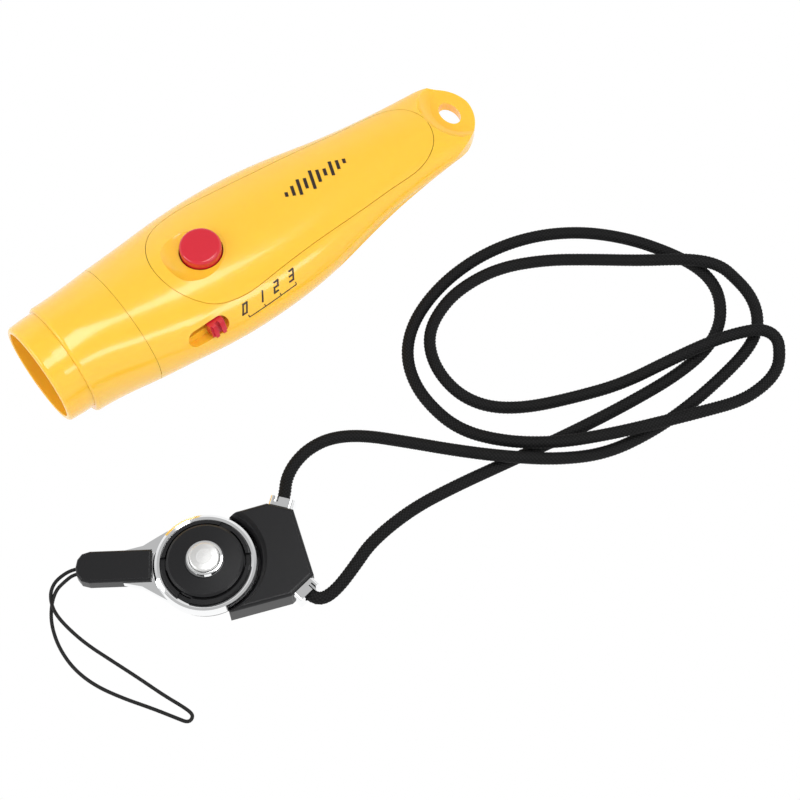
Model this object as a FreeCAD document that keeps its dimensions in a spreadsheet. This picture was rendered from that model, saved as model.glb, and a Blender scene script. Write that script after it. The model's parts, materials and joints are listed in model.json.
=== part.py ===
# Electronic training whistle with a quick-release neck lanyard.
# Row frame in millimetres: +X runs from the mouth to the lanyard eye, +Z up,
# the whistle rests on the flat strip of its belly at Z = 0.
import FreeCAD, Part
import math
import os
import Sketcher
from FreeCAD import Placement, Rotation, Vector

doc = FreeCAD.newDocument("TrainingWhistle")
sheet = doc.addObject("Spreadsheet::Sheet", "dims")
known = {}
row = [0]


def dim(alias, value):
    """One driving dimension: a plain number in the sheet with an alias."""
    if alias not in known:
        row[0] += 1
        cell = "A%d" % row[0]
        sheet.set(cell, repr(round(float(value), 5)))
        sheet.setAlias(cell, alias)
        known[alias] = float(value)
    return "dims." + alias


def num(alias):
    """Reads a dimension back from the sheet."""
    return float(sheet.get(alias))


# ---------------------------------------------------------------- dimensions
dim("wall", 2.2)                 # shell wall of the housing
dim("lip_depth", 3.6)            # inner face of the collar's plug-in rim
dim("gap_seam", 0.08)            # half of the visible seam round the cover
dim("axis_height", 15.0)         # axis of the mouth above the table
dim("button_x", -18.5)
dim("button_travel", 0.8)
dim("knob_x", -26.8)
dim("knob_surface_y", -17.3)
dim("knob_surface_z", 17.0)
dim("knob_tilt", 19.0)
dim("knob_travel", 5.1)
dim("eye_x", 63.8)
dim("eye_long", 7.6)
dim("eye_short", 5.0)
dim("cell_radius", 5.2)
dim("cell_pitch", 10.9)
dim("cell_height", 7.7)
dim("board_bottom", 13.65)
dim("board_top", 15.25)
dim("neck_cord_diameter", 3.2)
dim("loop_cord_diameter", 0.9)
dim("hub_x", -64.7)
dim("hub_y", -63.3)
dim("clamp_angle", -20.8)
dim("tag_angle", 144.0)
sheet.recompute()

# Envelope stations: x, half width, height of the widest line, top, bottom
STATIONS = [
    (-62.7, 15.0, 15.0, 30.0, -0.3),
    (-58.0, 15.25, 14.7, 29.65, -0.4),
    (-52.0, 16.0, 14.1, 28.8, -0.45),
    (-44.5, 17.25, 13.3, 27.45, -0.5),
    (-34.0, 18.65, 12.4, 25.75, -0.6),
    (-24.0, 19.95, 11.6, 24.4, -0.6),
    (-14.0, 20.6, 11.15, 23.15, -0.6),
    (-4.0, 20.5, 10.8, 21.95, -0.6),
    (6.0, 19.65, 10.45, 20.85, -0.6),
    (16.0, 17.95, 10.15, 19.85, -0.45),
    (26.0, 15.85, 9.8, 18.8, 0.15),
    (36.0, 14.1, 9.5, 17.6, 1.25),
    (46.0, 12.95, 9.2, 16.25, 2.45),
    (56.0, 12.2, 8.9, 14.55, 3.5),
    (66.0, 11.7, 8.6, 12.9, 4.4),
    (74.0, 11.5, 8.4, 11.9, 5.0),
]
for i, st in enumerate(STATIONS):
    for key, v in zip(("x", "half", "mid", "top", "low"), st):
        dim("station_%s_%s" % ("abcdefghijklmnop"[i], key), v)
sheet.recompute()


def station(i):
    return [num("station_%s_%s" % ("abcdefghijklmnop"[i], k)) for k in ("x", "half", "mid", "top", "low")]


def section(x, half, mid, top, low, n=28):
    """Closed cross-section: elliptical back, flatter belly."""
    pts = []
    for k in range(n):
        t = 2 * math.pi * k / n
        cy, sz = math.cos(t), math.sin(t)
        if sz >= 0:
            y, z = half * cy, mid + (top - mid) * sz
        else:
            e = 2.0 / 2.4
            y = half * math.copysign(abs(cy) ** e, cy)
            z = mid - (mid - low) * abs(sz) ** e
        pts.append(Vector(x, y, z))
    c = Part.BSplineCurve()
    c.interpolate(Points=pts, PeriodicFlag=True)
    return Part.Wire([c.toShape()])


def envelope(offset, first, last):
    wires = []
    for i in range(first, last + 1):
        x, half, mid, top, low = station(i)
        wires.append(section(x, half - offset, mid, top - offset, low + offset))
    s = Part.makeLoft(wires, True, False)
    return s


def feature(label, shape, place=None):
    f = doc.addObject("Part::Feature", label)
    f.Label = label
    f.Shape = shape
    f.Placement = place or Placement()
    return f


def box(name, x0, x1, y0, y1, z0, z1, place=None):
    b = doc.addObject("Part::Box", name)
    for prop, key, v in (("Length", "length", x1 - x0), ("Width", "width", y1 - y0), ("Height", "height", z1 - z0)):
        b.setExpression(prop, dim("%s_%s" % (name, key), v))
    base = Placement(Vector(x0, y0, z0), Rotation())
    b.Placement = place.multiply(base) if place else base
    return b


def cyl(name, x, y, z0, z1, radius, axis="z"):
    c = doc.addObject("Part::Cylinder", name)
    c.setExpression("Radius", radius if isinstance(radius, str) else dim(name + "_radius", radius))
    c.setExpression("Height", dim(name + "_height", z1 - z0))
    if axis == "z":
        c.Placement = Placement(Vector(x, y, z0), Rotation())
    elif axis == "x":      # x is then the Y place, y the Z place, z0 the start on X
        c.Placement = Placement(Vector(z0, x, y), Rotation(Vector(0, 1, 0), 90))
    return c


def boolean(kind, label, base, tools):
    """Part::Cut, Part::MultiFuse or Part::MultiCommon of document objects."""
    if kind == "cut":
        tool = tools[0]
        if len(tools) > 1:
            tool = doc.addObject("Part::MultiFuse", label + "_tools")
            tool.Shapes = tools
        o = doc.addObject("Part::Cut", label)
        o.Base, o.Tool = base, tool
    elif kind == "fuse":
        o = doc.addObject("Part::MultiFuse", label)
        o.Shapes = [base] + tools
    else:
        o = doc.addObject("Part::MultiCommon", label)
        o.Shapes = [base] + tools
    o.Label = label
    return o


def origin_plane(body, role):
    return [f for f in body.Origin.OriginFeatures if f.Role == role][0]


def sketch(body, name, role, points=None, circles=None, offset=0.0):
    """A sketch on an origin plane, each vertex and radius bound to the sheet."""
    sk = body.newObject("Sketcher::SketchObject", name)
    sk.AttachmentSupport = (origin_plane(body, role), "")
    sk.MapMode = "FlatFace"
    if offset:
        sk.AttachmentOffset = Placement(Vector(0, 0, offset), Rotation())
    if points:
        n = len(points)
        v = [Vector(p[0], p[1], 0) for p in points]
        ids = [sk.addGeometry(Part.LineSegment(v[i], v[(i + 1) % n]), False) for i in range(n)]
        for i in range(n):
            sk.addConstraint(Sketcher.Constraint("Coincident", ids[i], 2, ids[(i + 1) % n], 1))
        for i, p in enumerate(points):
            for key, kind, val in (("across", "DistanceX", p[0]), ("along", "DistanceY", p[1])):
                alias = "%s_%s_%s" % (name, key, "abcdefghijklmnopqrstuvwxyz"[i])
                if abs(val) < 1e-9:
                    axis = -2 if kind == "DistanceX" else -1
                    sk.addConstraint(Sketcher.Constraint("PointOnObject", ids[i], 1, axis))
                    continue
                c = sk.addConstraint(Sketcher.Constraint(kind, ids[i], 1, val))
                sk.renameConstraint(c, "%s_%d" % (key, i))
                sk.setExpression("Constraints.%s_%d" % (key, i), dim(alias, val))
    for j, (cx, cy, r) in enumerate(circles or []):
        g = sk.addGeometry(Part.Circle(Vector(cx, cy, 0), Vector(0, 0, 1), r), False)
        letter = "abcdefghijklmnopqrstuvwxyz"[j]
        c = sk.addConstraint(Sketcher.Constraint("Radius", g, r))
        sk.renameConstraint(c, "radius_" + letter)
        sk.setExpression("Constraints.radius_" + letter, dim("%s_radius_%s" % (name, letter), r))
        for key, kind, val, axis in (("cx", "DistanceX", cx, -2), ("cy", "DistanceY", cy, -1)):
            if abs(val) < 1e-9:
                sk.addConstraint(Sketcher.Constraint("PointOnObject", g, 3, axis))
            else:
                c = sk.addConstraint(Sketcher.Constraint(kind, g, 3, val))
                sk.renameConstraint(c, "%s_%s" % (key, letter))
                sk.setExpression("Constraints.%s_%s" % (key, letter), dim("%s_%s_%s" % (name, key, letter), val))
    return sk


def new_body(label, place=None):
    b = doc.addObject("PartDesign::Body", label)
    b.Label = label
    if place:
        b.Placement = place
    return b


def revolved(label, points, axis="V_Axis", place=None):
    """A turned piece: profile in the XZ plane, turned about Z or about X."""
    b = new_body(label, place)
    sk = sketch(b, label + "_profile", "XZ_Plane", points)
    r = b.newObject("PartDesign::Revolution", label + "_turn")
    r.Profile = sk
    r.ReferenceAxis = (sk, [axis])
    r.Angle = 360
    b.Tip = r
    doc.recompute()
    return b


def padded(label, points, z0, z1, place=None, circles=None):
    """A plate or block: outline in the XY plane padded from z0 to z1."""
    b = new_body(label, place)
    sk = sketch(b, label + "_outline", "XY_Plane", points, circles, z0)
    p = b.newObject("PartDesign::Pad", label + "_pad")
    p.Profile = sk
    p.setExpression("Length", dim(label + "_thickness", z1 - z0))
    b.Tip = p
    doc.recompute()
    return b


def pocket(body, name, points, z, depth, circles=None, upward=False):
    """A pocket cut down from height z; the volume must fall."""
    before = body.Shape.Volume
    sk = sketch(body, name, "XY_Plane", points, circles, z)
    k = body.newObject("PartDesign::Pocket", name + "_cut")
    k.Profile = sk
    k.setExpression("Length", dim(name + "_depth", depth))
    k.Reversed = upward
    body.Tip = k
    doc.recompute()
    if body.Shape.Volume > before - 1e-6:
        raise RuntimeError(name + " cut nothing")
    return k


def round_edges(body, name, radius, test):
    """PartDesign::Fillet on the edges of the tip that pass the test."""
    tip = body.Tip
    names = ["Edge%d" % (i + 1) for i, e in enumerate(tip.Shape.Edges) if test(e)]
    if not names:
        raise RuntimeError(name + ": no edge")
    f = body.newObject("PartDesign::Fillet", name)
    f.Base = (tip, names)
    f.setExpression("Radius", dim(name + "_radius", radius))
    body.Tip = f
    doc.recompute()
    if not f.Shape.isValid() or "Invalid" in f.State:
        raise RuntimeError(name + " failed")
    return f


def at_height(z, tol=0.02):
    return lambda e: abs(e.BoundBox.ZMin - z) < tol and abs(e.BoundBox.ZMax - z) < tol


AXIS = Placement(Vector(0, 0, num("axis_height")), Rotation())
SW = Placement(Vector(0, num("knob_surface_y"), num("knob_surface_z")), Rotation(Vector(1, 0, 0), -num("knob_tilt")))

# ------------------------------------------------------------ mouth and horn
nose = revolved("nose_ring", [(-70, 12.35), (-57.0, 12.45), (-57.0, 13.15), (-62.72, 13.15),
                              (-62.72, 14.15), (-66.0, 14.12), (-70, 13.85)], "H_Axis", AXIS)
round_edges(nose, "nose_rim_outer", 1.1, lambda e: abs(e.BoundBox.XMax + 70) < 0.02 and e.BoundBox.ZLength > 27)
round_edges(nose, "nose_rim_inner", 0.3, lambda e: abs(e.BoundBox.XMax + 70) < 0.02 and 24 < e.BoundBox.ZLength < 25.2)

revolved("horn_cone", [(-64.0, 11.4), (-53.6, 9.7), (-53.6, 10.7), (-64.0, 12.3)], "H_Axis", AXIS)

guard = new_body("speaker_guard", AXIS)
gsk = sketch(guard, "guard_disc", "YZ_Plane", None, [(0, 0, 11.4)], -53.55)
gp = guard.newObject("PartDesign::Pad", "guard_pad")
gp.Profile = gsk
gp.setExpression("Length", dim("guard_thickness", 0.8))
guard.Tip = gp
doc.recompute()
before = guard.Shape.Volume
gh = sketch(guard, "guard_holes", "YZ_Plane", None,
            [(0, 0, 1.1)] + [(3.6 * math.cos(math.radians(a)), 3.6 * math.sin(math.radians(a)), 1.1) for a in range(0, 360, 60)]
            + [(7.2 * math.cos(math.radians(a)), 7.2 * math.sin(math.radians(a)), 1.1) for a in range(15, 375, 30)], -53.55)
gc = guard.newObject("PartDesign::Pocket", "guard_holes_cut")
gc.Profile = gh
gc.Type = 1
gc.Midplane = False
gc.Reversed = True
guard.Tip = gc
doc.recompute()
if guard.Shape.Volume > before - 1:
    gc.Reversed = False
    doc.recompute()
if guard.Shape.Volume > before - 1:
    raise RuntimeError("guard holes cut nothing")

revolved("speaker_gasket", [(-52.75, 9.7), (-52.0, 9.7), (-52.0, 11.35), (-52.75, 11.35)], "H_Axis", AXIS)
revolved("speaker_driver", [(-52.0, 0), (-51.2, 0), (-51.2, 4.0), (-51.6, 8.8), (-52.0, 9.4), (-52.0, 11.35),
                            (-50.45, 11.35), (-50.45, 10.6), (-49.2, 8.9), (-46.4, 8.3), (-46.4, 7.4), (-40.4, 7.4), (-40.4, 0)][1:] ,
         "H_Axis", AXIS)

# --------------------------------------------------------------- push button
BX = Placement(Vector(num("button_x"), 0, 0), Rotation())
button = revolved("push_button", [(0, 19.55), (6.4, 19.55), (6.4, 20.3), (5.45, 20.3), (5.45, 25.5), (3.0, 25.62), (0, 25.65)], "V_Axis", BX)
round_edges(button, "button_edge", 0.85, lambda e: abs(e.BoundBox.ZMin - 25.5) < 0.02 and e.BoundBox.XLength > 10)
padded("tact_switch", [(-3, -3), (3, -3), (3, 3), (-3, 3)], 15.27, 18.3, BX)
pocket(doc.getObject("tact_switch"), "tact_bore", None, 18.3, 1.6, [(0, 0, 1.8)])
padded("tact_plunger", None, 17.6, 19.53, BX, [(0, 0, 1.7)])

# --------------------------------------------------------------- slide switch
KX = num("knob_x")
head = box("knob_head", KX - 2.1, KX + 2.1, -1.9, 1.75, -1.95, 1.95, SW)
groove_a = box("knob_groove", KX - 0.55, KX + 0.55, -2.5, -0.6, -3.0, 3.0, SW)
step_a = box("knob_step_near", KX - 3.0, KX - 1.6, -2.5, -1.2, -3.0, 3.0, SW)
step_b = box("knob_step_far", KX + 1.6, KX + 3.0, -2.5, -1.2, -3.0, 3.0, SW)
neck = box("knob_neck", KX - 1.3, KX + 1.3, -16.4, -13.0, 16.2, 17.8)
knob_shape = boolean("fuse", "knob_blank", head, [neck])
slide_knob = boolean("cut", "slide_knob", knob_shape, [groove_a, step_a, step_b])
box_slider = box("slider_block", KX - 1.0, KX + 1.0, -12.98, -9.8, 16.4, 17.6)
slider_foot = box("slider_foot", KX - 1.6, KX + 1.6, -11.2, -9.8, 15.9, 18.1)
slider = boolean("fuse", "slide_switch_slider", box_slider, [slider_foot])
can_block = box("can_block", -35.6, -23.0, -12.4, -8.4, 15.28, 18.9)
can_slot = box("can_slot", -33.7, -24.9, -13.0, -11.0, 16.15, 17.85)
can_room = box("can_room", -34.3, -24.3, -11.4, -9.4, 15.65, 18.35)
can = boolean("cut", "slide_switch_can", can_block, [can_slot, can_room])

# --------------------------------------------------------- board and supplies
padded("circuit_board", [(-36, -12.6), (6, -12.6), (20.5, -9.0), (20.5, 9.0), (6, 12.6), (-36, 12.6)],
       num("board_bottom"), num("board_top"))
chip = box("chip", -8, 2, -4, 4, 15.27, 16.9)
coil = cyl("coil", 8.0, -4.5, 15.27, 16.9, 3.2)
cap_a = cyl("capacitor_near", 8.5, 4.4, 15.27, 16.9, 2.4)
cap_b = cyl("capacitor_far", 14.0, 2.6, 15.27, 16.4, 1.8)
quartz = box("resonator", -6, 1, 7.0, 9.5, 15.27, 17.3)
parts_group = doc.addObject("Part::Compound", "board_components")
parts_group.Label = "board_components"
parts_group.Links = [chip, coil, cap_a, cap_b, quartz]

tray_block = box("tray_block", -30.6, 20.9, -11.9, 11.9, 3.6, 13.55)
tray_zone = feature("tray_zone", envelope(num("wall") + 0.35, 3, 11))
tray_skin = boolean("common", "tray_skin", tray_block, [tray_zone])
tray_room = box("tray_room", -29.9, 20.0, -11.15, 11.15, 0, 13.05)
tray_post = box("tray_post", 20.05, 25.4, -3.3, 3.3, 3.75, 11.0)
tray_cut = boolean("cut", "tray_open", tray_skin, [tray_room])
tray_fused = boolean("fuse", "tray_fused", tray_cut, [tray_post])
tray_bore = cyl("tray_bore", 22.6, 0, 3.0, 9.6, 0.98)
battery_tray = boolean("cut", "battery_tray", tray_fused, [tray_bore])

cells = []
for side, s in (("near", -1), ("far", 1)):
    x0 = -28.3 if s < 0 else -26.4
    tube = cyl("cell_" + side, s * num("cell_pitch") / 2, num("cell_height"), x0, x0 + 44.2, "dims.cell_radius", "x")
    nub = cyl("cell_nub_" + side, s * num("cell_pitch") / 2, num("cell_height"), (x0 + 44.1) if s > 0 else x0 - 0.9,
              (x0 + 45.2) if s > 0 else x0 + 0.1, 1.8, "x")
    cells.append(boolean("fuse", "cell_whole_" + side, tube, [nub]))
cells_group = doc.addObject("Part::Compound", "batteries")
cells_group.Label = "batteries"
cells_group.Links = cells


def coil_spring(radius, wire, pitch, turns_height):
    h = Part.makeHelix(pitch, turns_height, radius)
    w = Part.Wire(h.Edges)
    c = Part.Wire([Part.makeCircle(wire / 2, Vector(radius, 0, 0), Vector(0, 1, 0))])
    return w.makePipeShell([c], True, True)


spring_len = 2.6
springs = []
yb = num("cell_pitch") / 2
zb = num("cell_height")
sp = coil_spring(2.4, 0.5, 0.9, 2.4)
a = sp.copy()
a.Placement = Placement(Vector(16.25, -yb, zb), Rotation(Vector(0, 1, 0), 90))
b = sp.copy()
b.Placement = Placement(Vector(-29.3, yb, zb), Rotation(Vector(0, 1, 0), 90))
battery_springs = feature("battery_springs", Part.makeCompound([a, b]))
plate_a = box("contact_bridge", -29.88, -29.6, -9.2, 9.2, 4.4, 10.6)
plate_b = box("contact_plus", 19.0, 19.3, 1.8, 9.0, 4.4, 10.6)
plate_c = box("contact_minus", 19.0, 19.3, -9.0, -1.8, 4.4, 10.6)
plates = doc.addObject("Part::Compound", "battery_contacts")
plates.Label = "battery_contacts"
plates.Links = [plate_a, plate_b, plate_c]


def arc_tube(points, diameter, label):
    """Tube of straight runs joined by tangent arcs, each arc as large as its runs allow."""
    p = [Vector(*q) for q in points]
    edges_, radii, start = [], [], p[0]
    for i in range(1, len(p) - 1):
        u = (p[i - 1] - p[i])
        w = (p[i + 1] - p[i])
        short = min(u.Length, w.Length)
        u.normalize()
        w.normalize()
        turn = math.pi - u.getAngle(w)
        if turn < 1e-4:
            continue
        t = 0.45 * short
        r = t / math.tan(turn / 2)
        radii.append(r)
        a_, b_ = p[i] + u * t, p[i] + w * t
        bis = u + w
        bis.normalize()
        m_ = p[i] + bis * (r / math.cos(turn / 2) - r)
        if (a_ - start).Length > 1e-6:
            edges_.append(Part.LineSegment(start, a_).toShape())
        edges_.append(Part.Arc(a_, m_, b_).toShape())
        start = b_
    edges_.append(Part.LineSegment(start, p[-1]).toShape())
    w_ = Part.Wire(edges_)
    d0 = p[1] - p[0]
    prof = Part.Wire([Part.makeCircle(diameter / 2, p[0], d0)])
    tube = w_.makePipeShell([prof], True, False)
    if tube.Volume < 0:
        tube.reverse()
    want = math.pi * diameter ** 2 / 4 * w_.Length
    print("%s length %.1f mm, volume %.1f of %.1f, radii %s" % (label, w_.Length, tube.Volume, want, [round(r, 1) for r in radii]))
    if abs(tube.Volume / want - 1) > 0.03:
        raise RuntimeError(label + " volume")
    return tube


lead_a = arc_tube([(-40.3, -3.0, 16.2), (-38.6, -3.0, 16.2), (-37.4, -3.0, 14.6), (-36.03, -3.0, 14.5)], 0.9, "lead")
lead_b = arc_tube([(-40.3, 3.0, 16.2), (-38.6, 3.0, 16.2), (-37.4, 3.0, 14.6), (-36.03, 3.0, 14.5)], 0.9, "lead")
feature("speaker_leads", Part.makeCompound([lead_a, lead_b]))

# -------------------------------------------------------------------- screws
screws = []
for tag, x in (("mid", 33.0), ("tail", 47.0)):
    h_ = cyl("case_head_" + tag, x, 0, 3.6, 5.15, 2.0)
    s_ = cyl("case_shank_" + tag, x, 0, 5.1, 12.6, 0.9)
    k_ = box("case_drive_" + tag, x - 1.2, x + 1.2, -0.25, 0.25, 3.0, 4.1)
    k2 = box("case_drive_cross_" + tag, x - 0.25, x + 0.25, -1.2, 1.2, 3.0, 4.1)
    screws.append(boolean("cut", "case_screw_" + tag, boolean("fuse", "case_screw_blank_" + tag, h_, [s_]), [k_, k2]))
case_screws = doc.addObject("Part::Compound", "case_screws")
case_screws.Label = "case_screws"
case_screws.Links = screws
dh = cyl("door_screw_head", 22.6, 0, 0.35, 1.58, 2.0)
ds = cyl("door_screw_shank", 22.6, 0, 1.5, 9.0, 0.92)
dk = box("door_drive", 21.4, 23.8, -0.25, 0.25, 0.0, 0.85)
dk2 = box("door_drive_cross", 22.35, 22.85, -1.2, 1.2, 0.0, 0.85)
boolean("cut", "door_screw", boolean("fuse", "door_screw_blank", dh, [ds]), [dk, dk2])

# ------------------------------------------------------------------- lanyard
HX, HY = num("hub_x"), num("hub_y")
HUB = Placement(Vector(HX, HY, 0), Rotation())
CL = Placement(Vector(HX, HY, 0), Rotation(Vector(0, 0, 1), num("clamp_angle")))
TG = Placement(Vector(HX, HY, 0), Rotation(Vector(0, 0, 1), num("tag_angle")))

CLAMP = [(2.2, -14.8), (17.8, -15.2), (24.5, -11.5), (24.5, 6.6), (18.6, 10.2), (2.2, 10.3)]


def clamp_half(label, z0, z1):
    blank = padded(label + "_blank", CLAMP, z0, z1, CL)
    return blank


cove = Part.Face(Part.makePolygon([Vector(0, 0, 1.2), Vector(13.5, 0, 1.2), Vector(13.5, 0, 3.6), Vector(14.3, 0, 5.2),
                                   Vector(15.6, 0, 6.8), Vector(15.6, 0, 9), Vector(0, 0, 9), Vector(0, 0, 1.2)])
                 ).revolve(Vector(0, 0, 0), Vector(0, 0, 1), 360)
cove_cut = feature("clamp_cove", cove, HUB)
low_blank = clamp_half("clamp_lower", 0.0, 3.3)
top_blank = clamp_half("clamp_upper", 3.3, 6.5)
round_edges(top_blank, "clamp_top_edges", 0.9, lambda e: abs(e.BoundBox.ZMin - 6.5) < 0.02 and e.BoundBox.DiagonalLength > 3
            and not (abs(e.BoundBox.Center.x - 2.2) < 0.1 and False))
base_plate = cyl("base_plate", HX, HY, 0, 1.2, 12.4)
low_fused = boolean("fuse", "clamp_lower_fused", low_blank, [base_plate])
clamp_lower = boolean("cut", "clamp_lower", low_fused, [cove_cut])
clamp_upper = boolean("cut", "clamp_upper", top_blank, [cove_cut])
clamp_lower.Label = "clamp_lower"
clamp_upper.Label = "clamp_upper"

# bright ferrules on the two bevelled corners
nA = num("clamp_angle") + math.degrees(math.atan2(5.9, 3.6))
nB = num("clamp_angle") + math.degrees(math.atan2(-6.7, 3.7))


def local(a_, b_, z=0.0):
    return CL.multVec(Vector(a_, b_, z))


ferrules, exits = [], []
for tag, (ca, cb), ang in (("upper", ((18.6 + 24.5) / 2, (10.2 + 6.6) / 2), math.degrees(math.atan2(5.9, 3.6))),
                           ("lower", ((17.8 + 24.5) / 2, (-15.2 - 11.5) / 2), math.degrees(math.atan2(-6.7, 3.7)))):
    origin = local(ca, cb)
    world = num("clamp_angle") + ang
    P = Placement(Vector(origin.x, origin.y, 0), Rotation(Vector(0, 0, 1), world))
    blk = box("ferrule_block_" + tag, 0.05, 2.5, -3.3, 3.3, 0.75, 5.95, P)
    bore = doc.addObject("Part::Cylinder", "ferrule_bore_" + tag)
    bore.setExpression("Radius", dim("ferrule_bore", 1.75))
    bore.setExpression("Height", dim("ferrule_bore_length", 6.0))
    bore.Placement = P.multiply(Placement(Vector(-1, 0, 3.35), Rotation(Vector(0, 1, 0), 90)))
    notch = box("ferrule_notch_" + tag, 1.1, 4.0, 0.9, 2.0, 3.4, 8.0, P)
    blk_round = doc.addObject("Part::Fillet", "ferrule_round_" + tag)
    blk_round.Base = blk
    doc.recompute()
    blk_round.Edges = [(i + 1, 1.2, 1.2) for i, e in enumerate(blk.Shape.Edges)
                       if abs(abs((e.Vertexes[1].Point - e.Vertexes[0].Point).dot(P.Rotation.multVec(Vector(1, 0, 0)))) - 2.45) < 0.01]
    ferrules.append(boolean("cut", "ferrule_" + tag, blk_round, [bore, notch]))
    exits.append((origin, P.Rotation.multVec(Vector(1, 0, 0))))
ferrule_group = doc.addObject("Part::Compound", "cord_ferrules")
ferrule_group.Label = "cord_ferrules"
ferrule_group.Links = ferrules
print("exits", [(round(o.x, 2), round(o.y, 2), round(n.x, 3), round(n.y, 3)) for o, n in exits])

hub = revolved("hub_disc", [(3.85, 1.22), (9.85, 1.22), (9.85, 4.9), (9.55, 5.1), (9.55, 6.1), (9.0, 6.5), (4.9, 6.75), (4.9, 6.3), (3.85, 6.3)], "V_Axis", HUB)
floor_disc = None
revolved("button_collar", [(3.87, 6.32), (4.85, 6.32), (4.85, 7.3), (4.5, 7.95), (4.15, 8.0), (3.87, 7.8)], "V_Axis", HUB)
rb = revolved("release_button", [(0, 4.4), (3.75, 4.4), (3.75, 8.8), (2.0, 9.0), (0, 9.05)], "V_Axis", HUB)
round_edges(rb, "release_edge", 0.5, lambda e: abs(e.BoundBox.ZMin - 8.8) < 0.02 and e.BoundBox.XLength > 7)
# the release spring is a slotted tube: four rings, joined by two bridges at each gap, the pairs of bridges at right angles
spring_tube = cyl("release_spring_tube", HX, HY, 1.25, 4.26, 2.8)
spring_cuts = [cyl("release_spring_bore", HX, HY, 1.0, 4.5, 2.0)]
for k, z0 in enumerate((1.59, 2.48, 3.37)):
    for side in (1, -1):
        lo, hi = sorted((side * 0.4, side * 3.2))
        tag = "%d%s" % (k, "a" if side > 0 else "b")
        if k % 2 == 0:
            spring_cuts.append(box("release_spring_gap_" + tag, HX - 3.2, HX + 3.2, HY + lo, HY + hi, z0, z0 + 0.55))
        else:
            spring_cuts.append(box("release_spring_gap_" + tag, HX + lo, HX + hi, HY - 3.2, HY + 3.2, z0, z0 + 0.55))
boolean("cut", "release_spring", spring_tube, spring_cuts).Label = "release_spring"

liner = revolved("liner_ring", [(10.05, 1.55), (11.2, 1.55), (11.2, 5.1), (10.9, 5.6), (10.05, 5.6)], "V_Axis", HUB)
for k, ang in enumerate((25, 145, 205, 325)):
    ca, sa = math.cos(math.radians(ang)), math.sin(math.radians(ang))
    q = [(9.0, -1.6), (12.5, -1.6), (12.5, 1.6), (9.0, 1.6)]
    pocket(liner, "liner_notch_" + "abcd"[k], [(x * ca - y * sa, x * sa + y * ca) for x, y in q], 6.5, 1.9)

ring_turn = revolved("clasp_ring_turn", [(11.35, 1.75), (11.6, 1.5), (12.7, 1.5), (13.05, 2.1), (13.05, 4.0), (12.6, 4.9), (12.0, 5.15), (11.35, 4.9)], "V_Axis", HUB)
arms = padded("clasp_arms", [(7.4, 10.3), (11.8, 7.7), (15.6, 5.35), (20.2, 4.3), (20.2, 3.35), (11.2, 3.35), (11.2, -3.35), (20.2, -3.35),
                             (20.2, -4.3), (15.6, -5.35), (11.8, -7.7), (7.4, -10.3)], 1.9, 3.9, TG)
ring_bore = cyl("ring_bore", HX, HY, -1, 10, 11.35)
arms_open = boolean("cut", "arms_open", arms, [ring_bore])
clasp_ring = boolean("fuse", "clasp_ring", ring_turn, [arms_open])
clasp_ring.Label = "clasp_ring"


def tag_half(label, z0, z1, edge_z):
    blank = padded(label + "_blank", [(13.25, -4.15), (28.6, -4.15), (30.6, -3.55), (31.7, -2.1), (32.1, 0.0), (31.7, 2.1), (30.6, 3.55), (28.6, 4.15), (13.25, 4.15)], z0, z1, TG)
    round_edges(blank, label + "_edge", 0.7, lambda e: abs(e.BoundBox.ZMin - edge_z) < 0.02 and abs(e.BoundBox.ZMax - edge_z) < 0.02)
    return blank


arm_room = box("tag_arm_slot", 12.0, 20.35, -3.3, 3.3, 0, 10, TG)
side_room = boolean("cut", "tag_side_room", box("tag_side_block", 12.0, 20.35, -6, 6, 1.82, 3.98, TG), [arm_room])
cord_room = box("tag_cord_room", 27.2, 40, -1.25, 1.25, 1.9, 3.1, TG)
pin_room = box("tag_pin_room", 28.0, 29.2, -2.55, 2.55, 1.9, 3.1, TG)
tag_lower = boolean("cut", "tag_lower", tag_half("tag_lower", 0.3, 2.5, 0.3), [side_room, cord_room, pin_room])
tag_upper = boolean("cut", "tag_upper", tag_half("tag_upper", 2.5, 4.9, 4.9), [side_room, cord_room, pin_room])
tag_lower.Label = "tag_lower"
tag_upper.Label = "tag_upper"
pin = doc.addObject("Part::Cylinder", "tag_pin")
pin.Label = "tag_pin"
pin.setExpression("Radius", dim("pin_radius", 0.5))
pin.setExpression("Height", dim("pin_length", 5.0))
pin.Placement = TG.multiply(Placement(Vector(28.6, -2.5, 2.5), Rotation(Vector(1, 0, 0), -90)))

# thin loop: both ends meet the pin inside the tag
t0 = TG.multVec(Vector(29.15, 0.65, 2.5))
t1 = TG.multVec(Vector(29.15, -0.65, 2.5))
dT = TG.Rotation.multVec(Vector(1, 0, 0))
LOOP = [(t1.x, t1.y, 2.5), (t1.x + dT.x * 3.6, t1.y + dT.y * 3.6, 2.5),
        (-95.6, -42.9, 1.5), (-98.3, -43.9, 0.5), (-100.0, -46.4, 0.55), (-100.95, -50.0, 1.65), (-100.75, -54.5, 1.65), (-99.4, -60.8, 0.5),
        (-96.9, -68.2, 0.5), (-94.3, -75.8, 0.5), (-91.9, -83.4, 0.5), (-89.6, -89.4, 0.5), (-89.2, -91.9, 0.5), (-91.2, -92.6, 0.5), (-92.8, -89.8, 0.5),
        (-95.9, -84.4, 0.5), (-100.2, -77.6, 0.5), (-103.6, -71.0, 0.5), (-105.3, -64.4, 0.5), (-105.1, -57.6, 0.5),
        (-103.3, -51.6, 0.5), (-100.6, -47.5, 0.5), (-97.6, -44.9, 0.5), (-95.0, -44.6, 1.3),
        (t0.x + dT.x * 3.2, t0.y + dT.y * 3.2, 2.5), (t0.x, t0.y, 2.5)]
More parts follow.
